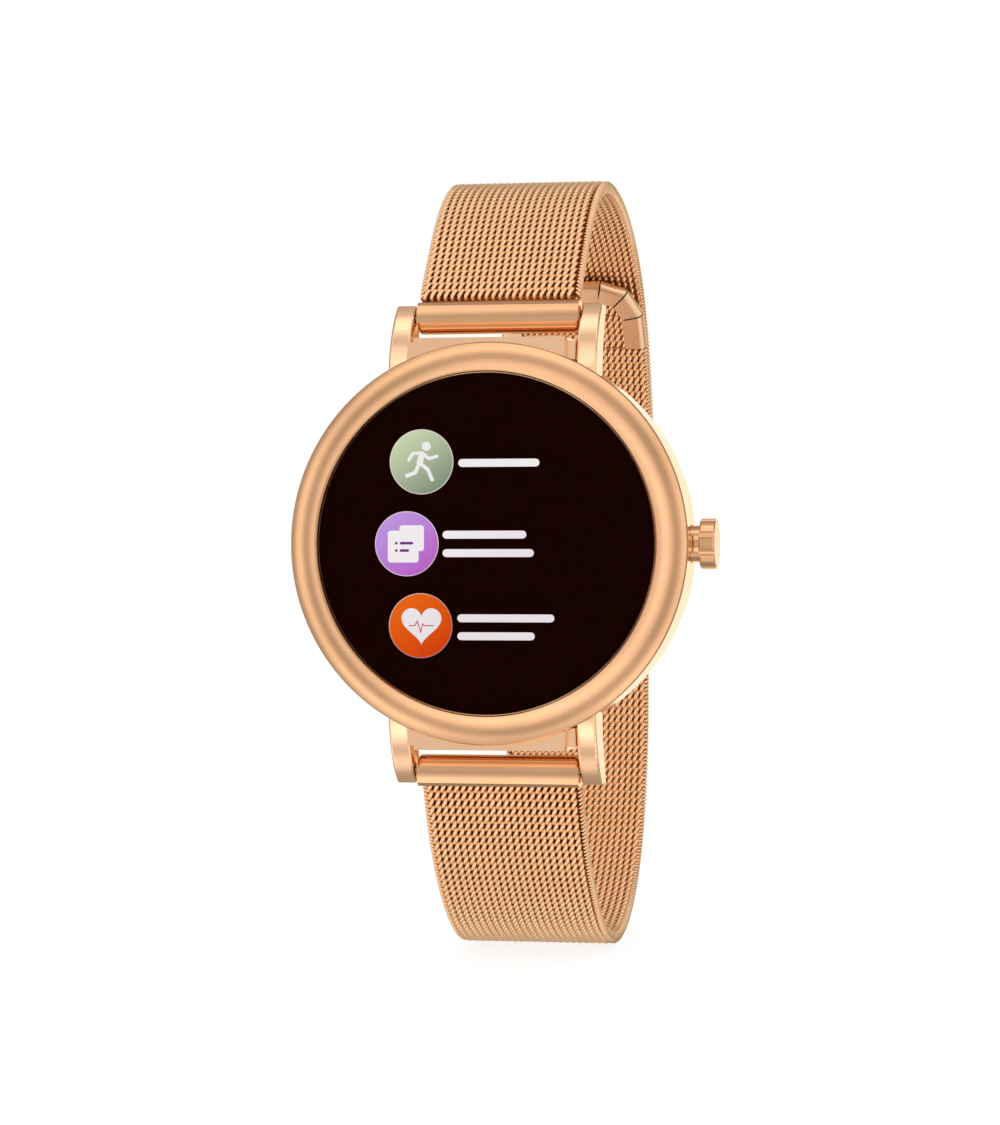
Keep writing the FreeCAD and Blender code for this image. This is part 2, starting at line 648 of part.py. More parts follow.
# Each half's centre line in the YZ plane: where it starts, its heading from +Y towards +Z,
# and then its stretches, as (radius, turn) for an arc and (None, length) for a straight one.
UPPER_PATH = ((-2.38, 26.33), 65.7,
              ((8.0, -18.0), (None, 6.04), (30.0, -12.0), (20.0, -36.7), (None, 0.71),
               (37.0, -23.7), (30.9, -49.2), (20.0, -16.1), (None, 4.5)))
LOWER_PATH = ((-1.02, -25.85), -65.4,
              ((None, 1.8), (32.6, 34.2), (23.4, 72.7), (25.3, 48.5), (None, 25.5),
               (10.0, -26.0), (10.0, 40.0), (28.9, 17.7)))


def walk(path):
    """The edges of a centre line, and the point and heading that it ends with."""
    (y, z), heading, stretches = path
    here, turn, edges = V(0, y, z), math.radians(heading), []
    for radius, amount in stretches:
        ahead = V(0, math.cos(turn), math.sin(turn))
        if radius is None:
            there = here + ahead * amount
            edges.append(("line", here, there, turn, turn))
        else:
            sweep = math.radians(amount)
            left = V(0, -ahead.z, ahead.y) * math.copysign(radius, amount)
            centre = here + left
            there = centre + FreeCAD.Rotation(V(1, 0, 0), amount).multVec(here - centre)
            edges.append(("arc", here, there, turn, turn + sweep))
            turn += sweep
        here = there
    return edges, here, math.degrees(turn)


def offset_point(point, turn, away):
    """A point moved to the left of its heading."""
    return point + V(0, -math.sin(turn), math.cos(turn)) * away


def make_mesh(label, path):
    """A band of even thickness along a centre line, as a closed solid."""
    edges, _, _ = walk(path)
    thick, half = DIMENSIONS["mesh_thick"], DIMENSIONS["mesh_half"]
    faces = []
    for kind, start, stop, before, after in edges:
        sides = []
        for away in (thick / 2, -thick / 2):
            a, b = offset_point(start, before, away), offset_point(stop, after, away)
            if kind == "line":
                sides.append(Part.makeLine(a, b))
            else:
                middle_turn = (before + after) / 2
                chord = (stop - start).Length / 2
                rise = chord * math.tan((after - before) / 4)
                middle = (start + stop) * 0.5 + V(0, math.sin(middle_turn),
                                                  -math.cos(middle_turn)) * rise
                sides.append(Part.Arc(a, offset_point(middle, middle_turn, away), b).toShape())
        first, second = sides
        ends = [Part.makeLine(first.Vertexes[k].Point, second.Vertexes[k].Point) for k in (0, 1)]
        faces.append(Part.Face(Part.Wire(Part.__sortEdges__([first, ends[1], second, ends[0]]))))
    spans = [face.extrude(V(2 * half, 0, 0)) for face in faces]
    solid = spans[0].multiFuse(spans[1:]).removeSplitter()
    mesh = doc.addObject("Part::Feature", label)
    mesh.Shape = solid.Solids[0]
    place(mesh, -half)
    return keep(label, mesh)


# The section of an end sleeve's clamp, as (Y, Z) from the spring bar's axis with Z towards the
# mesh: the slightly domed front, then the mouth that holds the mesh, and the back.
CLAMP_FRONT, CLAMP_DOME, CLAMP_BACK = ((-1.8, -0.5), (-1.5, 1.38), (-1.02, 1.74)), 5.0, (1.6, -0.4)
CLAMP_MOUTH = {"upper": ((0.35, 1.79), (0.95, 1.52), (1.45, 1.05)),
               "lower": ((0.95, 1.66), (2.05, 1.15), (1.7, 0.6))}


def make_sleeve(end, up):
    """A sleeve rolled round the spring bar, whose folded clamp grips the end of the mesh."""
    half, y, z = S["sleeve_half"], S["bar_depth"], up * S["bar_height"]
    roll = rounded_rod(f"{end}_sleeve_roll", S["sleeve_radius"], half * 2, 0.4, -half, y, z)
    clamp = new_body(f"{end}_sleeve_clamp")
    section = [(y + v, z + up * w) for v, w in (*CLAMP_FRONT, *CLAMP_MOUTH[end], CLAMP_BACK)]
    section[1] = (*section[1], up * CLAMP_DOME)
    pad(clamp, outline(clamp, "YZ_Plane", section, -half), half * 2)
    bore = rod(f"{end}_sleeve_bore", S["sleeve_bore"], half * 2 + 1, "x", -half - 0.5, y, z)
    keep(f"{end}_end_sleeve",
         cut(f"{end}_end_sleeve", fuse(f"{end}_sleeve_blank", [roll, clamp]), bore))


def inset(points, distance):
    """An open outline moved to its right by a distance, with mitred corners."""
    ways = [(V(*b) - V(*a)).normalize() for a, b in zip(points, points[1:])]
    sides = [V(way.y, -way.x, 0) for way in ways]
    moved = []
    for k, point in enumerate(points):
        before, after = sides[max(k - 1, 0)], sides[min(k, len(sides) - 1)]
        shift = (before + after) * (distance / (1 + before.dot(after)))
        moved.append((point[0] + shift.x, point[1] + shift.y))
    return moved


def make_tip():
    """The tail's tip: a folded metal border in seven facets, with the mesh inside it."""
    _, point, heading = walk(LOWER_PATH)
    half, reach, border = DIMENSIONS["mesh_half"], DIMENSIONS["tip_reach"], 2.6
    left = [(-half, 0.0), (-half, reach - 4.7), (-half + 1.6, reach - 1.3), (-half + 4.8, reach)]
    outside = left + [(-x, y) for x, y in reversed(left)]
    inside = inset(outside, border)
    bend = FreeCAD.Rotation(V(1, 0, 0), heading + 8.0)
    start = point + V(0, math.cos(math.radians(heading)), math.sin(math.radians(heading))) * 0.12
    for label, points, thick in (("strap_tip", outside + inside[::-1], S["mesh_thick"]),
                                 ("tip_mesh", inside, S["tip_mesh_thick"])):
        body = new_body(label)
        pad(body, outline(body, "XY_Plane", points, thick * -0.5), thick)
        place(body, 0.0, start.y, start.z, bend)
        keep(label, body)


def make_strap():
    """End sleeves, both halves of the mesh and the tail's tip."""
    for end, up in ENDS:
        make_sleeve(end, up)
    make_mesh("upper_mesh", UPPER_PATH)
    make_mesh("lower_mesh", LOWER_PATH)
    make_tip()


# ---------------------------------------------------------------- clasp

def make_clasp():
    """Sliding clasp on the lower half: a tunnel with ears, a hook bar's rest and a cover lever."""
    half, low, high = S["clasp_half"], S["clasp_low"], S["clasp_high"]
    shell = rounded("clasp_shell", block("clasp_shell_core", (-half, S["clasp_inner"], low),
                                         (half, S["clasp_outer"], high)),
                    0.4, at_depth(DIMENSIONS["clasp_inner"]))
    bore = block("clasp_tunnel", (-S["tunnel_half"], S["tunnel_inner"], low - 1),
                 (S["tunnel_half"], S["tunnel_outer"], high + 1))
    cheeks = []
    for side, way in SIDES:
        inner, outer = way * S["tunnel_half"], way * half
        left, right = (inner, outer) if way > 0 else (outer, inner)
        for name, bottom, top in (("ear", low, low + 4.0), ("rest", high - 4.5, high - 1.7)):
            cheeks.append(block(f"clasp_{name}_{side}", (left, S["clasp_outer"] - 0.3, bottom),
                                (right, S["hook_depth"] + 1.0, top)))
    blank = fuse("clasp_blank", [shell] + cheeks)
    pin_bore = rod("clasp_pin_bore", 0.5, 2 * half + 2, "x", -half - 1, S["hinge_depth"],
                   S["hinge_height"])
    keep("clasp_body", cut("clasp_body", blank, fuse("clasp_tools", [bore, pin_bore])))
    keep("clasp_pin", rod("clasp_pin", 0.5, 2 * half, "x", -half, S["hinge_depth"],
                          S["hinge_height"]))

    # the lever's plate is narrow beside the ears and wide above them, with a hook on each side
    gap, knuckle = 0.1, 1.2
    narrow = S["tunnel_half"] - gap
    plate = block("lever_plate", (-narrow, S["lever_inner"], S["hinge_height"] - knuckle),
                  (narrow, S["lever_outer"], S["hinge_height"] + 4.0))
    wide = block("lever_wide", (-half, S["lever_inner"], S["hinge_height"] + 3.5),
                 (half, S["lever_outer"], S["hook_height"] + 2.6))
    web = block("lever_web", (-narrow, S["hinge_depth"], S["hinge_height"] - knuckle),
                (narrow, S["lever_outer"] - 0.2, S["hinge_height"] + knuckle))
    roll = rod("lever_roll", knuckle, 2 * narrow, "x", -narrow, S["hinge_depth"], S["hinge_height"])
    hooks = []
    for side, way in SIDES:
        inner, outer = way * (S["mesh_half"] + 0.2), way * half
        left, right = (inner, outer) if way > 0 else (outer, inner)
        hooks.append(block(f"lever_hook_{side}",
                           (left, S["hook_depth"] + 0.35, S["hook_height"] + 1.9),
                           (right, S["lever_outer"] - 0.2, S["hook_height"] + 2.6)))
    lever = rounded("lever_rounded", fuse("lever_blank", [plate, wide, web, roll] + hooks),
                    0.3, at_depth(DIMENSIONS["lever_outer"]))
    keep("clasp_lever", cut("clasp_lever", lever, rod(
        "lever_bore", 0.55, 2 * half + 2, "x", -half - 1, S["hinge_depth"], S["hinge_height"])))

    # the upper half ends in a crimped bar, whose ends lie in the clasp's rests
    keep("hook_bar", rod("hook_bar", S["hook_radius"], 2 * half - 0.1, "x", -half + 0.05,
                         S["hook_depth"], S["hook_height"]))
    ferrule_half, shell_thick = S["mesh_half"] - 0.1, 1.9
    crimp = block("crimp_shell", (-ferrule_half, S["hook_depth"] - shell_thick / 2, S["hook_height"]),
                  (ferrule_half, S["hook_depth"] + shell_thick / 2, S["hook_height"] + 3.4))
    eye = rod("crimp_eye", 1.15, 2 * ferrule_half, "x", -ferrule_half, S["hook_depth"],
              S["hook_height"])
    hole = rod("crimp_hole", S["hook_radius"], 2 * half, "x", -half, S["hook_depth"],
               S["hook_height"])
    keep("end_crimp", cut("end_crimp", fuse("crimp_blank", [crimp, eye]), hole))


# ---------------------------------------------------------------- build, check and write

for make in (make_mid_case, make_front, make_back, make_sensors, make_inside, make_motor,
             make_crown, make_spring_bars, make_strap, make_clasp):
    make()
doc.recompute()

for thing in doc.Objects:
    if "Invalid" in thing.State or "Error" in thing.State:
        raise RuntimeError(f"{thing.Label}: {thing.State}")
for label, thing in PARTS.items():
    shape = thing.Shape
    if shape.isNull() or not shape.isValid() or not shape.Solids:
        raise RuntimeError(f"{label} is not a valid solid")
for label, thing in PARTS.items():
    thing.Shape.exportStep(f"parts/{label}.step")
print(f"{len(PARTS)} sub-parts written")
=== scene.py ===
import json
import math

import bpy
import numpy as np
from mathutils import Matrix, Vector


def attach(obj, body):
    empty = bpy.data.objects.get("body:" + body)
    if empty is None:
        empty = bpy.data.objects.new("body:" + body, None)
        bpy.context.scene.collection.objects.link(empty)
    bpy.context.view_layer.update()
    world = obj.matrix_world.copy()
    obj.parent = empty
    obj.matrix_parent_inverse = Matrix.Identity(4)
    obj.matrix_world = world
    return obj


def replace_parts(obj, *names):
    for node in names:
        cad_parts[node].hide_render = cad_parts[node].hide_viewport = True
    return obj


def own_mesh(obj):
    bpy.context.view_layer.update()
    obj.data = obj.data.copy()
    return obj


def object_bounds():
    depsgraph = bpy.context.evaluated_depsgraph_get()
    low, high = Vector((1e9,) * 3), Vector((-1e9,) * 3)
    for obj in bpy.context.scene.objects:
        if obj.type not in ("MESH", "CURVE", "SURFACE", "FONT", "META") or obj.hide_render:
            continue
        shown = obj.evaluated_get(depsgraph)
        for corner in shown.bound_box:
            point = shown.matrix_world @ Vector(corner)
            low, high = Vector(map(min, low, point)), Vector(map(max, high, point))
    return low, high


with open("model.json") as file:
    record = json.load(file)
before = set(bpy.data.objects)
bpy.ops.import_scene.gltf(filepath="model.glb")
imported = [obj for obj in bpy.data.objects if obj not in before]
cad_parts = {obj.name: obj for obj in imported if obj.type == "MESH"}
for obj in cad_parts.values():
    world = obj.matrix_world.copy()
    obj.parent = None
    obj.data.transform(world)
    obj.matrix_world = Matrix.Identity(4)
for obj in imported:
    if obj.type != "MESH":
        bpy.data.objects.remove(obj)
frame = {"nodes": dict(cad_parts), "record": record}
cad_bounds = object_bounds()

MM = 0.001
NODES = frame["nodes"]


# ---------------------------------------------------------------- camera, light and floor

def make_camera():
    """A long-lens view, level with the watch and a little from the crown side."""
    place = Vector((67.60, -357.18, -2.72)) * MM
    target = Vector((1.335, -9.6, -1.992)) * MM
    data = bpy.data.cameras.new("camera")
    data.sensor_width = 36.0
    data.lens = 106.71
    data.clip_start, data.clip_end = 0.01, 20.0
    camera = bpy.data.objects.new("camera", data)
    bpy.context.scene.collection.objects.link(camera)
    camera.location = place
    camera.rotation_euler = (target - place).to_track_quat("-Z", "Y").to_euler()
    bpy.context.scene.camera = camera


def level_ramp(tree, value, stops):
    """Map a value in -1..1 to brightness levels given as (value, level) stops."""
    shift, ramp = tree.nodes.new("ShaderNodeMath"), tree.nodes.new("ShaderNodeValToRGB")
    shift.operation = "MULTIPLY_ADD"
    shift.inputs[1].default_value = shift.inputs[2].default_value = 0.5
    tree.links.new(value, shift.inputs[0])
    tree.links.new(shift.outputs[0], ramp.inputs["Fac"])
    elements = ramp.color_ramp.elements
    for _ in stops[2:]:
        elements.new(0.5)
    for element, (at, level) in zip(elements, stops):
        element.position = at * 0.5 + 0.5
        element.color = (level, level, level, 1.0)
    return ramp.outputs["Color"]


WARM = (1.0, 0.9, 0.8)                       # tint of what metal reflects


def make_world():
    """A white studio. What metal reflects of it is banded, by depth (Y) and by height (Z)."""
    world = bpy.data.worlds.new("studio")
    bpy.context.scene.world = world
    world.use_nodes = True
    tree = world.node_tree
    tree.nodes.clear()
    out = tree.nodes.new("ShaderNodeOutputWorld")
    white, banded = (tree.nodes.new("ShaderNodeBackground") for _ in range(2))
    white.inputs["Color"].default_value = (1.0, 1.0, 1.0, 1.0)
    coord, split = tree.nodes.new("ShaderNodeTexCoord"), tree.nodes.new("ShaderNodeSeparateXYZ")
    tree.links.new(coord.outputs["Generated"], split.inputs[0])
    depth = level_ramp(tree, split.outputs["Y"], (
        (-1.0, 0.85), (-0.97, 0.78), (-0.94, 0.72), (-0.84, 1.58), (-0.76, 1.50), (-0.56, 0.74),
        (-0.44, 0.74), (-0.24, 1.34), (-0.08, 1.28), (0.10, 0.69), (0.30, 0.52), (0.70, 0.40),
        (0.90, 1.2), (1.0, 1.25)))
    height = level_ramp(tree, split.outputs["Z"], (
        (-1.0, 0.70), (-0.93, 0.85), (-0.80, 1.12), (-0.62, 1.08), (-0.40, 0.90), (-0.1, 1.0),
        (0.25, 1.0), (0.5, 0.88), (0.62, 0.86), (0.80, 1.05), (0.93, 1.1), (1.0, 1.15)))
    both = tree.nodes.new("ShaderNodeVectorMath")
    both.operation = "MULTIPLY"
    tree.links.new(depth, both.inputs[0])
    tree.links.new(height, both.inputs[1])
    warm = tree.nodes.new("ShaderNodeVectorMath")
    warm.operation = "MULTIPLY"
    warm.inputs[1].default_value = WARM
    tree.links.new(both.outputs[0], warm.inputs[0])
    tree.links.new(warm.outputs[0], banded.inputs["Color"])
    pick, path = tree.nodes.new("ShaderNodeMixShader"), tree.nodes.new("ShaderNodeLightPath")
    tree.links.new(path.outputs["Is Glossy Ray"], pick.inputs["Fac"])
    tree.links.new(white.outputs[0], pick.inputs[1])
    tree.links.new(banded.outputs[0], pick.inputs[2])
    tree.links.new(pick.outputs[0], out.inputs["Surface"])


def make_floor():
    """A plain pale floor just under the strap. It glows a little, so it stays nearly white."""
    reach, gap, shade, glow_level = 3.0, 0.4 * MM, 0.2, 0.85
    height = cad_bounds[0][2] - gap
    mesh = bpy.data.meshes.new("floor")
    mesh.from_pydata([(x * reach, y * reach, height) for x, y in
                      ((-1, -1), (1, -1), (1, 1), (-1, 1))], [], [(0, 1, 2, 3)])
    floor = bpy.data.objects.new("floor", mesh)
    bpy.context.scene.collection.objects.link(floor)
    material, shader = new_material("floor_white", (shade, shade, shade), roughness=1.0)
    shader.inputs["Specular IOR Level"].default_value = 0.0
    shader.inputs["Emission Color"].default_value = (1, 1, 1, 1)
    shader.inputs["Emission Strength"].default_value = glow_level
    mesh.materials.append(material)
    floor.visible_glossy = False


def add_area(name, place, aim, width, height, power):
    """One soft rectangular light, which metal doesn't mirror."""
    data = bpy.data.lights.new(name, "AREA")
    data.shape = "RECTANGLE"
    data.size, data.size_y, data.energy = width, height, power
    light = bpy.data.objects.new(name, data)
    light.visible_glossy = False
    light.location = place
    light.rotation_euler = (Vector(aim) - Vector(place)).to_track_quat("-Z", "Y").to_euler()
    bpy.context.scene.collection.objects.link(light)


# ---------------------------------------------------------------- materials

def new_material(name, colour, metallic=0.0, roughness=0.5, **settings):
    """A Principled material with its plain values set; returns it and its shader."""
    material = bpy.data.materials.new(name)
    material.use_nodes = True
    shader = material.node_tree.nodes["Principled BSDF"]
    shader.inputs["Base Color"].default_value = (*colour, 1.0)
    shader.inputs["Metallic"].default_value = metallic
    shader.inputs["Roughness"].default_value = roughness
    for socket, value in settings.items():
        shader.inputs[socket.replace("_", " ")].default_value = value
    return material, shader


def grain(material, scale, stretch=(1.0, 1.0, 1.0), detail=4.0):
    """Noise in the object's own space, finer across the directions with a larger stretch."""
    nodes, links = material.node_tree.nodes, material.node_tree.links
    coord, mapping = nodes.new("ShaderNodeTexCoord"), nodes.new("ShaderNodeMapping")
    noise = nodes.new("ShaderNodeTexNoise")
    mapping.inputs["Scale"].default_value = stretch
    noise.inputs["Scale"].default_value = scale
    noise.inputs["Detail"].default_value = detail
    links.new(coord.outputs["Object"], mapping.inputs["Vector"])
    links.new(mapping.outputs["Vector"], noise.inputs["Vector"])
    return noise.outputs["Fac"]


def tint(material, shader, fac, low, high):
    """Colour that drifts between two tones."""
    nodes, links = material.node_tree.nodes, material.node_tree.links
    ramp = nodes.new("ShaderNodeValToRGB")
    for element, at, tone in zip(ramp.color_ramp.elements, (0.3, 0.7), (low, high)):
        element.position = at
        element.color = (*tone, 1.0)
    links.new(fac, ramp.inputs["Fac"])
    links.new(ramp.outputs["Color"], shader.inputs["Base Color"])


def vary(material, shader, fac, socket, low, high):
    """A shader value that drifts between two levels."""
    nodes, links = material.node_tree.nodes, material.node_tree.links
    level = nodes.new("ShaderNodeMapRange")
    level.inputs["To Min"].default_value = low
    level.inputs["To Max"].default_value = high
    links.new(fac, level.inputs["Value"])
    links.new(level.outputs["Result"], shader.inputs[socket])


def relief(material, shader, fac, height, strength=1.0):
    """Fine relief of a given height in metres."""
    nodes, links = material.node_tree.nodes, material.node_tree.links
    bump = nodes.new("ShaderNodeBump")
    bump.inputs["Distance"].default_value = height
    bump.inputs["Strength"].default_value = strength
    links.new(fac, bump.inputs["Height"])
    links.new(bump.outputs["Normal"], shader.inputs["Normal"])


def metal(name, low, high, rough, stretch=(1, 1, 1), scale=900.0, relief_mm=0.0, edge=(1, 1, 1)):
    """A plated or bare metal. edge is the colour that it takes at a grazing angle."""
    material, shader = new_material(name, high, metallic=1.0, roughness=rough[0])
    shader.inputs["Specular Tint"].default_value = (*edge, 1.0)
    fac = grain(material, scale, stretch)
    tint(material, shader, fac, low, high)
    vary(material, shader, fac, "Roughness", *rough)
    if relief_mm:
        relief(material, shader, fac, relief_mm * MM)
    return material


def moulded(name, low, high, rough=(0.45, 0.6), scale=2500.0, relief_mm=0.006):
    """A moulded or coated surface with fine texture."""
    material, shader = new_material(name, high, roughness=rough[0])
    fac = grain(material, scale)
    tint(material, shader, fac, low, high)
    vary(material, shader, fac, "Roughness", *rough)
    relief(material, shader, fac, relief_mm * MM)
    return material


ROSE, ROSE_PALE = (0.72, 0.442, 0.262), (0.76, 0.477, 0.288)
ROSE_EDGE, CASE_EDGE = (1.0, 0.93, 0.78), (1.0, 0.93, 0.80)
NEAR_BLACK = (0.0060, 0.0008, 0.0003)

MATERIALS = {
    "rose_gold_polished": metal("rose_gold_polished", ROSE, ROSE_PALE, (0.06, 0.09), scale=160.0,
                                edge=ROSE_EDGE),
    "rose_gold_case": metal("rose_gold_case", (0.94, 0.635, 0.42), (0.98, 0.675, 0.46),
                            (0.08, 0.12), scale=160.0, edge=CASE_EDGE),
    "rose_gold_satin": metal("rose_gold_satin", ROSE, ROSE_PALE, (0.10, 0.13), scale=220.0,
                             relief_mm=0.002, edge=ROSE_EDGE),
    "rose_gold_mesh": metal("rose_gold_mesh", (0.93, 0.635, 0.405), (0.97, 0.675, 0.445),
                            (0.22, 0.28), scale=300.0, edge=ROSE_EDGE),
    "rose_gold_folded": metal("rose_gold_folded", (0.92, 0.645, 0.42), (0.96, 0.685, 0.46),
                              (0.26, 0.32), scale=300.0, edge=ROSE_EDGE),
    # dark bronze for the crimp wires: a painted shade, so the holes in the mesh read dark
    "weave_core_painted_shade": metal("weave_core_painted_shade", (0.42, 0.18, 0.075), (0.48, 0.21, 0.09), (0.5, 0.6)),
    "bare_steel": metal("bare_steel", (0.5, 0.5, 0.51), (0.64, 0.64, 0.65), (0.15, 0.28)),
    "screw_steel": metal("screw_steel", (0.55, 0.5, 0.45), (0.7, 0.66, 0.6), (0.2, 0.32)),
    "weight_metal": metal("weight_metal", (0.12, 0.12, 0.13), (0.22, 0.22, 0.23), (0.4, 0.6)),
    "copper": metal("copper", (0.75, 0.3, 0.14), (0.86, 0.42, 0.22), (0.25, 0.4), scale=3000.0),
    "magnet_nickel": metal("magnet_nickel", (0.55, 0.55, 0.52), (0.66, 0.66, 0.63), (0.2, 0.3)),
    "battery_foil": metal("battery_foil", (0.5, 0.51, 0.53), (0.66, 0.67, 0.69), (0.3, 0.45)),
    "black_plastic": moulded("black_plastic", (0.012, 0.012, 0.013), (0.022, 0.022, 0.023)),
    "board_green": moulded("board_green", (0.008, 0.07, 0.03), (0.015, 0.11, 0.05)),
    "chip_black": moulded("chip_black", (0.01, 0.01, 0.011), (0.02, 0.02, 0.02)),
    "ribbon_amber": moulded("ribbon_amber", (0.30, 0.12, 0.015), (0.42, 0.17, 0.02), (0.3, 0.4)),
    "black_rubber": moulded("black_rubber", NEAR_BLACK, (0.009, 0.0016, 0.0008), (0.7, 0.85)),
    "led_clear": moulded("led_clear", (0.35, 0.6, 0.3), (0.5, 0.75, 0.42), (0.15, 0.25)),
}


def make_glass():
    """Clear cover glass, and the black panel and dark sensor window."""
    clear, shader = new_material("clear_glass", (1.0, 1.0, 1.0), roughness=0.0)
    shader.inputs["Transmission Weight"].default_value = 1.0
    shader.inputs["IOR"].default_value = 1.05
    vary(clear, shader, grain(clear, 120.0), "Roughness", 0.0, 0.01)
    MATERIALS["clear_glass"] = clear
    black, shader = new_material("display_black", NEAR_BLACK, roughness=0.5)
    shader.inputs["Specular IOR Level"].default_value = 0.0
    tint(black, shader, grain(black, 1500.0), NEAR_BLACK, (0.0085, 0.0014, 0.0006))
    MATERIALS["display_black"] = black
    sensor, shader = new_material("sensor_glass", (0.01, 0.01, 0.012), roughness=0.04)
    tint(sensor, shader, grain(sensor, 300.0), (0.008, 0.008, 0.01), (0.016, 0.014, 0.016))
    MATERIALS["sensor_glass"] = sensor


def dress_nodes():
    """Give every CAD node its material."""
    slots = {row["node"]: row["material_slot"] for row in frame["record"]["subparts"]}
    for name, node in NODES.items():
        node.data.materials.clear()
        node.data.materials.append(MATERIALS[slots[name]])


# ---------------------------------------------------------------- building blocks

def add_mesh(name, points, faces, slot, body, smooth=True):
    """A mesh piece from points in millimetres, riding on a body."""
    mesh = bpy.data.meshes.new(name)
    points = np.asarray(points, dtype=float) * MM
    mesh.from_pydata(points.tolist(), [], faces)
    mesh.validate()
    mesh.update()
    if smooth:
        mesh.shade_smooth()
    else:
        mesh.shade_flat()
    piece = bpy.data.objects.new(name, mesh)
    bpy.context.scene.collection.objects.link(piece)
    mesh.materials.append(MATERIALS[slot])
    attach(piece, body)
    return piece


def tubes(paths, across, radius, sides):
    """Tubes along several polylines. across gives a unit vector at right angles at each point."""
    points, faces, base = [], [], 0
    spokes = np.arange(sides)
    turns = spokes * 2 * math.pi / sides
    for line, side in zip(paths, across):
        ahead = np.gradient(line, axis=0)
        ahead /= np.linalg.norm(ahead, axis=1, keepdims=True)
        side = side - ahead * np.sum(side * ahead, axis=1, keepdims=True)
        side /= np.linalg.norm(side, axis=1, keepdims=True)
        other = np.cross(ahead, side)
        rings = (line[:, None, :] + radius * (np.cos(turns)[None, :, None] * side[:, None, :]
                                              + np.sin(turns)[None, :, None] * other[:, None, :]))
        count = len(line)
        points.append(rings.reshape(-1, 3))
        start = base + np.arange(count - 1)[:, None] * sides
        first = start + spokes[None, :]
        after = start + (spokes[None, :] + 1) % sides
        quads = np.stack([first, after, after + sides, first + sides], axis=-1).reshape(-1, 4)
        faces.extend(map(tuple, quads.tolist()))
        faces.append(tuple(range(base + sides - 1, base - 1, -1)))
        faces.append(tuple(range(base + (count - 1) * sides, base + count * sides)))
        base += count * sides
    return np.concatenate(points), faces


# ---------------------------------------------------------------- woven strap

# The two halves' centre lines, as in the CAD, in millimetres and degrees: start (Y, Z), heading
# from +Y towards +Z, and the stretches, (radius, turn) for an arc, (None, length) if straight.
UPPER_PATH = ((-2.38, 26.33), 65.7,
              ((8.0, -18.0), (None, 6.04), (30.0, -12.0), (20.0, -36.7), (None, 0.71),
               (37.0, -23.7), (30.9, -49.2), (20.0, -16.1), (None, 4.5)))
LOWER_PATH = ((-1.02, -25.85), -65.4,
              ((None, 1.8), (32.6, 34.2), (23.4, 72.7), (25.3, 48.5), (None, 25.5),
               (10.0, -26.0), (10.0, 40.0), (28.9, 17.7)))
MESH_HALF, MESH_THICK = 8.9, 1.5             # half width and thickness
ROW, COLUMN, WIRE = 0.96, 0.755, 0.235       # row pitch, column pitch and wire radius
COIL_ALONG = 0.59                            # half size of a coil along the strap
COIL_OUT = MESH_THICK / 2 - WIRE             # half size of a coil through the strap
COIL_SLANT = 0.11                            # how far each stroke leans beyond an even coil
COIL_FLATNESS = 0.75                         # below 1, a coil's strokes run flatter than a sine
COIL_STEPS, COIL_SIDES = 12, 6
CORE_WIRE, CORE_SHIFT = 0.26, 0.22           # crimp wires: radius, and shift towards the wrist
LACING_WIRE, LACING_INSET = 0.16, 0.38       # edge lacing: wire radius, and place in from the edge
LACING_ACROSS, LACING_OUT = 0.2, 0.56        # half size of the lacing's loops
LACING_STEPS = 10


def stretch_length(stretch):
    """The length of one stretch of a centre line."""
    radius, amount = stretch
    return amount if radius is None else radius * math.radians(abs(amount))


def at_length(path, s):
    """The point (Y, Z) and the heading at a distance along a centre line."""
    (y, z), heading, stretches = path
    turn = math.radians(heading)
    for k, stretch in enumerate(stretches):
        radius, amount = stretch
        length = stretch_length(stretch)
        here = min(s, length) if k < len(stretches) - 1 else s
        if radius is None:
            y, z = y + here * math.cos(turn), z + here * math.sin(turn)
        else:
            sign = math.copysign(1.0, amount)
            after = turn + sign * here / radius
            y += sign * radius * (math.sin(after) - math.sin(turn))
            z -= sign * radius * (math.cos(after) - math.cos(turn))
            turn = after
        s -= here
        if s <= 1e-9:
            break
    return y, z, turn


def path_length(path):
    """The whole length of a centre line."""
    return sum(stretch_length(stretch) for stretch in path[2])


def frame_at(path, s, outward):
    """The point, the way ahead and the outward way at a distance along a centre line."""
    y, z, turn = at_length(path, s)
    ahead = np.array([0.0, math.cos(turn), math.sin(turn)])
    return np.array([0.0, y, z]), ahead, np.array([0.0, -ahead[2], ahead[1]]) * outward


def coil_row(centre, ahead, out, half):
    """One row's coil, flattened and leaning, with its sideways vectors."""
    turns = math.floor((2 * half - 2 * WIRE) / COLUMN)
    t = np.linspace(0.0, 2 * math.pi * turns, turns * COIL_STEPS + 1)
    x = COLUMN * (t / (2 * math.pi) - turns / 2) - COIL_SLANT * np.sin(2 * t)
    away = np.sign(np.sin(t)) * np.abs(np.sin(t)) ** COIL_FLATNESS
    line = centre - np.outer(COIL_ALONG * np.cos(t), ahead) + np.outer(COIL_OUT * away, out)
    line[:, 0] += x
    side = np.outer(np.sin(t), out) - np.outer(np.cos(t), ahead)
    return line, side


def weave_piece(name, rows, body):
    """Rows of coils as one piece."""
    lines, sides = zip(*(coil_row(*row) for row in rows))
    points, faces = tubes(lines, sides, WIRE, COIL_SIDES)
    return add_mesh(name, points, faces, "rose_gold_mesh", body)


def core_piece(name, spots, body):
    """The crimp wires inside the coils, coloured dark as painted shade in the mesh's holes, at each
    (centre, outward way, half length).
    """
    lines, sides = [], []
    for centre, out, half in spots:
        reach = np.array([half - WIRE, 0.0, 0.0])
        lines.append(np.array([centre - reach, centre + reach]))
        sides.append(np.array([out, out]))
    points, faces = tubes(lines, sides, CORE_WIRE, 8)
    add_mesh(name, points, faces, "weave_core_painted_shade", body)


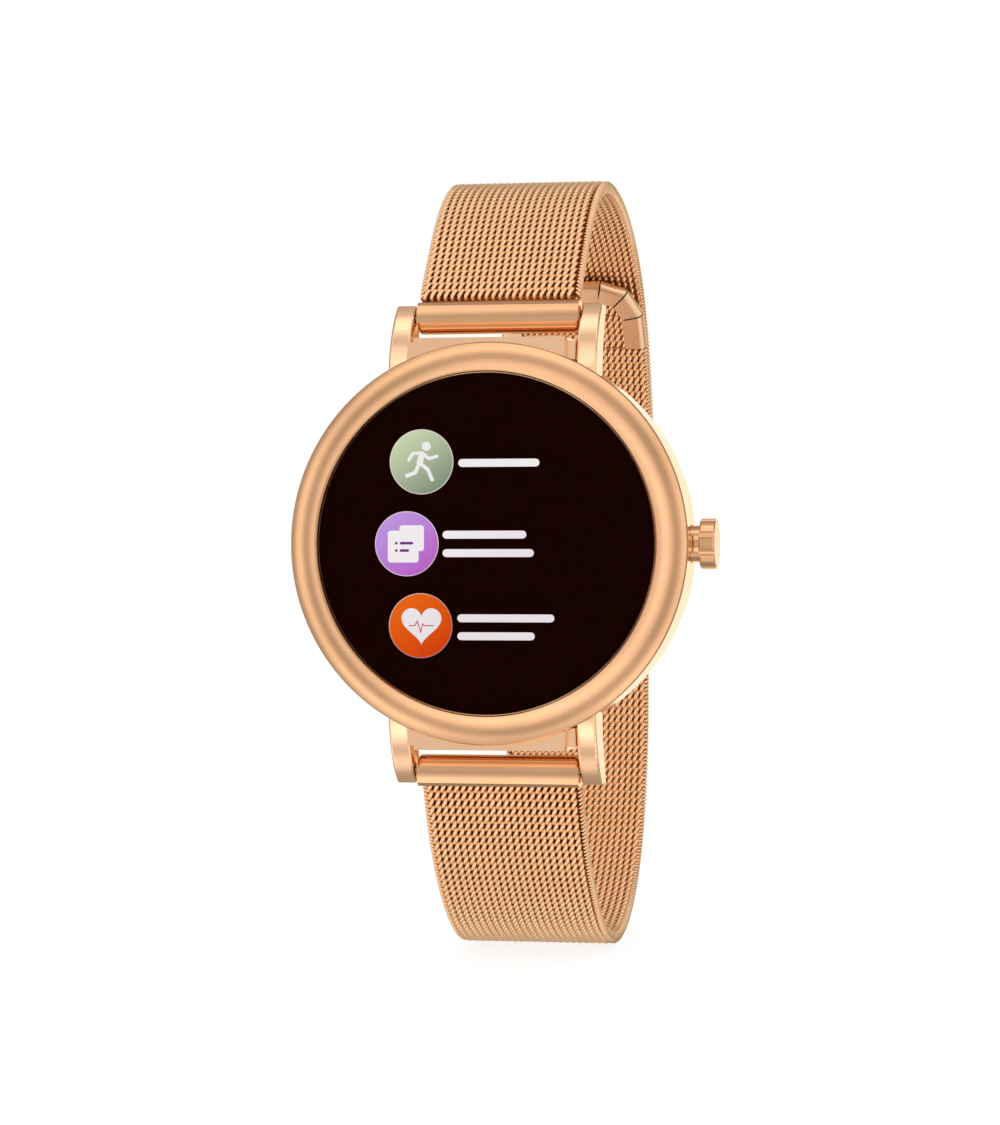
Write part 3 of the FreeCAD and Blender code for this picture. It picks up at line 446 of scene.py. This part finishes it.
def make_weave(half, path, outward, node, body, count):
    """One half of the strap: transverse coils with crimp wires inside and laced edges.

    outward is the side of the path that faces away from the wrist. Strokes lean to the crown side
    as they rise, so on the lower half, whose path runs down, the rows are built the other way.
    """
    length = path_length(path)
    number = int(length / ROW)
    margin = (length - number * ROW) / 2
    rows = []
    for k in range(number):
        centre, ahead, out = frame_at(path, margin + (k + 0.5) * ROW, outward)
        rows.append((centre, ahead * outward, out, MESH_HALF))
    pieces = [weave_piece(f"{half}_weave_{part + 1}",
                          rows[number * part // count:number * (part + 1) // count], body)
              for part in range(count)]
    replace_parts(pieces[0], node)
    spots = []
    # crimp wires at every half row, in the dark painted-shade material, so no light shows through the
    # coils
    for s in np.linspace(0.05, length - 0.05, 2 * number + 2):
        centre, _, out = frame_at(path, s, outward)
        spots.append((centre - CORE_SHIFT * out, out, MESH_HALF))
    core_piece(f"{half}_crimp_wires_painted_shade", spots, body)
    make_lacing(f"{half}_edge_lacing", path, outward, margin, number, body)


def make_lacing(name, path, outward, margin, number, body):
    """Two wires twisted round each other along each edge, one turn to a row."""
    across = np.array([1.0, 0.0, 0.0])
    lines, sides = [], []
    for edge in (-1, 1):
        for phase in (0.0, math.pi):
            line, side = [], []
            for k in range(number * LACING_STEPS + 1):
                spin = 2 * math.pi * k / LACING_STEPS * edge + phase
                centre, _, out = frame_at(path, margin + k * ROW / LACING_STEPS, outward)
                centre = centre + across * edge * (MESH_HALF - LACING_INSET)
                line.append(centre + across * LACING_ACROSS * math.cos(spin)
                            + out * LACING_OUT * math.sin(spin))
                side.append(across * math.cos(spin) + out * math.sin(spin))
            lines.append(np.array(line))
            sides.append(np.array(side))
    points, faces = tubes(lines, sides, LACING_WIRE, 6)
    add_mesh(name, points, faces, "rose_gold_mesh", body)


# ---------------------------------------------------------------- the tail's tip

def inset(points, distance):
    """An open outline moved to its right by a distance, with mitred corners."""
    points = [np.array(point, dtype=float) for point in points]
    ways = [(b - a) / np.linalg.norm(b - a) for a, b in zip(points, points[1:])]
    sides = [np.array((way[1], -way[0])) for way in ways]
    moved = []
    for k, point in enumerate(points):
        before, after = sides[max(k - 1, 0)], sides[min(k, len(sides) - 1)]
        moved.append(point + (before + after) * distance / (1 + before @ after))
    return moved


TIP_REACH, TIP_BORDER, TIP_BEND = 9.6, 2.6, 8.0   # length, border's width, and bend in degrees
TIP_GAP = 0.12                               # how far the tip starts beyond the mesh


def fold_section():
    """The border's section, a folded sheet, as distance in from the edge and height."""
    high, sheet, soft = MESH_THICK / 2, 0.35, 0.08
    fold = [(high - high * math.sin(angle), high * math.cos(angle))
            for angle in np.linspace(0, math.pi, 13)]
    top = [(TIP_BORDER, high - soft), (TIP_BORDER - soft, high)]
    bottom = [(TIP_BORDER - soft, -high), (TIP_BORDER, -high + soft)]
    inside = [(TIP_BORDER, -high + sheet), (high, -high + sheet), (high, high - sheet),
              (TIP_BORDER, high - sheet)]
    return top + fold + bottom + inside


def make_tip():
    """The folded border of the tail's tip, in seven mitred facets, and the mesh inside it."""
    y, z, turn = at_length(LOWER_PATH, path_length(LOWER_PATH))
    start = np.array([0.0, y, z]) + TIP_GAP * np.array([0.0, math.cos(turn), math.sin(turn)])
    turn += math.radians(TIP_BEND)
    ahead = np.array([0.0, math.cos(turn), math.sin(turn)])
    out = np.array([0.0, ahead[2], -ahead[1]])
    half, reach = MESH_HALF, TIP_REACH
    left = [(-half, 0.0), (-half, reach - 4.7), (-half + 1.6, reach - 1.3), (-half + 4.8, reach)]
    outline = left + [(-x, v) for x, v in reversed(left)]

    section, seam = fold_section(), 0.1
    points, faces = [], []
    for k in range(len(outline) - 1):
        base, count = len(points), len(section)
        along = np.array(outline[k + 1]) - np.array(outline[k])
        along /= np.linalg.norm(along)
        for corner, way in ((k, 1), (k + 1, -1)):
            for distance, rise in section:
                u, v = inset(outline, distance)[corner] + along * seam * way
                point = start + v * ahead + rise * out
                points.append((point[0] + u, point[1], point[2]))
        faces += [(base + j, base + (j + 1) % count, base + count + (j + 1) % count,
                   base + count + j) for j in range(count)]
        faces += [tuple(range(base + count - 1, base - 1, -1)),
                  tuple(range(base + count, base + 2 * count))]
    edge = add_mesh("tip_border", points, faces, "rose_gold_folded", "lower_strap", smooth=False)
    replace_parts(edge, "strap_tip")

    # the mesh is thinner here, and its crimp wires lie in pairs, a little towards the wrist
    thin, apart, shift = 0.7, 0.24, 0.2
    inner = inset(outline, TIP_BORDER)
    rows = []
    for k in range(int(inner[3][1] / ROW) + 1):
        v = (k + 0.5) * ROW
        width = np.interp(v, [point[1] for point in inner[:4]], [-point[0] for point in inner[:4]])
        rows.append((start + v * ahead, -ahead, thin * out, width + 0.5))
    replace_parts(weave_piece("tip_weave", rows, "lower_strap"), "tip_mesh")
    # the tip's crimp wires also take the dark painted-shade material
    core_piece("tip_crimp_wires_painted_shade", [(centre + side * apart * ahead - shift * thin * out, out, width)
                                   for centre, _, _, width in rows for side in (-1, 1)],
               "lower_strap")


# ---------------------------------------------------------------- spring bars

def make_springs():
    """The coil spring in each spring bar, as two halves at rest length."""
    wire, coil, pitch, half, travel, steps = 0.07, 0.36, 0.9, 7.3, 1.25, 16
    turns = half / pitch
    t = np.linspace(0.0, 2 * math.pi * turns, int(turns * steps) + 1)
    radial = np.stack([np.zeros_like(t), np.cos(t), np.sin(t)], axis=1)
    for end in ("upper", "lower"):
        barrel = NODES[f"{end}_bar_barrel"]
        corners = [barrel.matrix_world @ Vector(corner) for corner in barrel.bound_box]
        centre = sum(corners, Vector()) / len(corners)
        for side, way in (("left", -1), ("right", 1)):
            line = np.array(centre) / MM + coil * radial
            line[:, 0] += way * pitch * t / (2 * math.pi)
            points, faces = tubes([line], [radial], wire, 8)
            piece = add_mesh(f"{end}_bar_spring_{side}", points, faces, "bare_steel", "case")
            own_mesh(piece)
            if side == "left":
                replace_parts(piece, f"{end}_bar_spring")


# ---------------------------------------------------------------- display

FRONT = -10.86                               # depth of the display's front
SLAB, LAYER = 0.01, 0.012                    # thickness of a lit piece, and step between layers


def join(shapes):
    """One set of points and faces from several."""
    points, faces = [], []
    for more, sides in shapes:
        faces += [tuple(k + len(points) for k in face) for face in sides]
        points += more
    return points, faces


def slab(outline, layer):
    """A thin flat piece with a given outline in X and Z, on one of the display's layers."""
    back, count = FRONT - SLAB - LAYER * layer, len(outline)
    points = [(x, y, z) for y in (back - SLAB, back) for x, z in outline]
    faces = [tuple(range(count)), tuple(range(2 * count - 1, count - 1, -1))]
    faces += [(k, k + count, (k + 1) % count + count, (k + 1) % count) for k in range(count)]
    return points, faces


def circle(x, z, radius, steps=64):
    """A circle's outline."""
    return [(x + radius * math.cos(2 * math.pi * k / steps),
             z + radius * math.sin(2 * math.pi * k / steps)) for k in range(steps)]


def stroke(a, b, radius, steps=8):
    """A straight stroke with round ends."""
    turn = math.atan2(b[1] - a[1], b[0] - a[0])
    outline = []
    for (x, z), start in ((b, turn - math.pi / 2), (a, turn + math.pi / 2)):
        outline += [(x + radius * math.cos(start + math.pi * k / steps),
                     z + radius * math.sin(start + math.pi * k / steps)) for k in range(steps + 1)]
    return outline


def strokes(x, z, points, radius, layer):
    """A bent stroke through several points about a centre."""
    return [slab(stroke((x + a[0], z + a[1]), (x + b[0], z + b[1]), radius), layer)
            for a, b in zip(points, points[1:])]


def sheet_outline(x0, z0, x1, z1, radius, steps=6):
    """A rectangle with round corners."""
    outline = []
    for x, z, start in ((x1 - radius, z1 - radius, 0), (x0 + radius, z1 - radius, 90),
                        (x0 + radius, z0 + radius, 180), (x1 - radius, z0 + radius, 270)):
        for k in range(steps + 1):
            angle = math.radians(start + 90 * k / steps)
            outline.append((x + radius * math.cos(angle), z + radius * math.sin(angle)))
    return outline


def glow(name, low, high, centre, strength=1.0):
    """A lit colour that runs from low at the icon's upper left to high at its lower right."""
    across, down, reach = 0.6, 0.8, 3.4 * MM
    material, shader = new_material(name, (0.0, 0.0, 0.0), roughness=0.5)
    tree = material.node_tree
    coord, dot = tree.nodes.new("ShaderNodeTexCoord"), tree.nodes.new("ShaderNodeVectorMath")
    level, ramp = tree.nodes.new("ShaderNodeMapRange"), tree.nodes.new("ShaderNodeValToRGB")
    dot.operation = "DOT_PRODUCT"
    dot.inputs[1].default_value = (across, 0.0, -down)
    middle = (across * centre[0] - down * centre[1]) * MM
    level.inputs["From Min"].default_value = middle - reach
    level.inputs["From Max"].default_value = middle + reach
    ramp.color_ramp.elements[0].color = (*low, 1.0)
    ramp.color_ramp.elements[1].color = (*high, 1.0)
    tree.links.new(coord.outputs["Object"], dot.inputs[0])
    tree.links.new(dot.outputs["Value"], level.inputs["Value"])
    tree.links.new(level.outputs["Result"], ramp.inputs["Fac"])
    tree.links.new(ramp.outputs["Color"], shader.inputs["Emission Color"])
    shader.inputs["Emission Strength"].default_value = strength
    shader.inputs["Specular IOR Level"].default_value = 0.0
    MATERIALS[name] = material


def lit(name, shapes, colour):
    """A lit piece on the display."""
    piece = add_mesh(name, *join(shapes), colour, "case", smooth=False)


def make_display():
    """Three round icons, with plain bars in place of their words."""
    lit("display_face", [slab(circle(0.0, 0.0, 18.1, 160), 0)], "display_black")
    radius, rim = 3.45, 0.07
    green, purple, orange = (-6.9, 8.7), (-8.5, 0.0), (-7.0, -8.7)
    glow("lit_green", (0.58, 0.66, 0.43), (0.21, 0.27, 0.19), green)
    glow("lit_purple", (0.50, 0.30, 0.74), (0.47, 0.12, 0.56), purple)
    glow("lit_orange", (0.80, 0.13, 0.008), (0.62, 0.05, 0.004), orange)
    glow("lit_rim", (0.85, 0.75, 0.75), (0.45, 0.25, 0.25), (0.0, 0.0))
    glow("lit_white", (0.86, 0.83, 0.84), (0.80, 0.74, 0.78), (0.0, 0.0))
    glow("lit_shade", (0.18, 0.03, 0.24), (0.24, 0.05, 0.30), (0.0, 0.0))
    glow("lit_pulse", (0.64, 0.12, 0.07), (0.55, 0.08, 0.05), (0.0, 0.0))
    for name, centre in (("green", green), ("purple", purple), ("orange", orange)):
        lit(f"icon_{name}_rim", [slab(circle(*centre, radius), 1)], "lit_rim")
        lit(f"icon_{name}", [slab(circle(*centre, radius - rim), 2)], f"lit_{name}")

    # a running figure: head, trunk, arms and legs
    x, z = green
    figure = [slab(circle(x + 0.53, z + 1.65, 0.49), 3)]
    for points, thick in ((((0.08, 0.78), (-0.2, -0.1)), 0.33),
                          (((0.05, 0.95), (-0.95, 0.88), (-1.38, 0.2)), 0.17),
                          (((0.2, 0.85), (0.8, 0.33), (1.68, 0.58)), 0.17),
                          (((-0.1, -0.2), (0.72, -0.85), (1.15, -1.9)), 0.2),
                          (((-0.25, -0.2), (-0.68, -1.15), (-1.6, -1.48)), 0.2)):
        figure += strokes(x, z, points, thick, 3)
    lit("icon_runner", figure, "lit_white")

    # two sheets with a short list
    x, z = purple
    lit("icon_sheets", [slab(sheet_outline(x - 0.78, z - 0.78, x + 1.87, z + 1.97, 0.3), 3),
                        slab(sheet_outline(x - 2.05, z - 1.99, x + 1.29, z + 1.40, 0.3), 4)],
        "lit_white")
    marks = []
    for height, length in ((0.06, 1.2), (-0.72, 0.75)):
        marks.append(slab(circle(x - 1.13, z + height, 0.15, 16), 5))
        marks += strokes(x, z, ((-0.62, height), (-0.62 + length, height)), 0.14, 5)
    lit("icon_list", marks, "lit_shade")

    # a heart with a pulse line
    x, z = orange
    heart = []
    for k in range(96):
        t = 2 * math.pi * k / 96
        heart.append((x + 0.1 + 2.17 * math.sin(t) ** 3,
                      z + 0.24 + 0.1356 * (13 * math.cos(t) - 5 * math.cos(2 * t)
                                           - 2 * math.cos(3 * t) - math.cos(4 * t))))
    lit("icon_heart", [slab(heart, 3)], "lit_white")
    pulse = ((-1.23, 0.0), (-0.6, 0.0), (-0.36, 0.5), (0.02, -0.7), (0.22, 0.2), (0.42, 0.0),
             (1.4, 0.0))
    lit("icon_pulse", strokes(x, z, pulse, 0.055, 4), "lit_pulse")

    # each bar's ends along X, and its height
    bars = ((-2.5, 5.4, 8.55), (-4.2, 4.0, 0.95), (-4.2, 4.8, -1.0), (-2.6, 7.0, -7.9),
            (-2.6, 4.9, -9.8))
    lit("label_bars", [slab(stroke((x0, height), (x1, height), 0.42), 1)
                       for x0, x1, height in bars], "lit_white")


# ---------------------------------------------------------------- scene

make_camera()
make_world()
make_floor()
make_glass()
dress_nodes()
make_weave("upper", UPPER_PATH, 1.0, "upper_mesh", "upper_strap", 3)
make_weave("lower", LOWER_PATH, -1.0, "lower_mesh", "lower_strap", 4)
make_tip()
make_springs()
make_display()
add_area("key", (-0.6, -0.9, 0.9), (0, 0, 0), 1.0, 1.0, 3.0)
bpy.context.scene.view_settings.view_transform = "Standard"
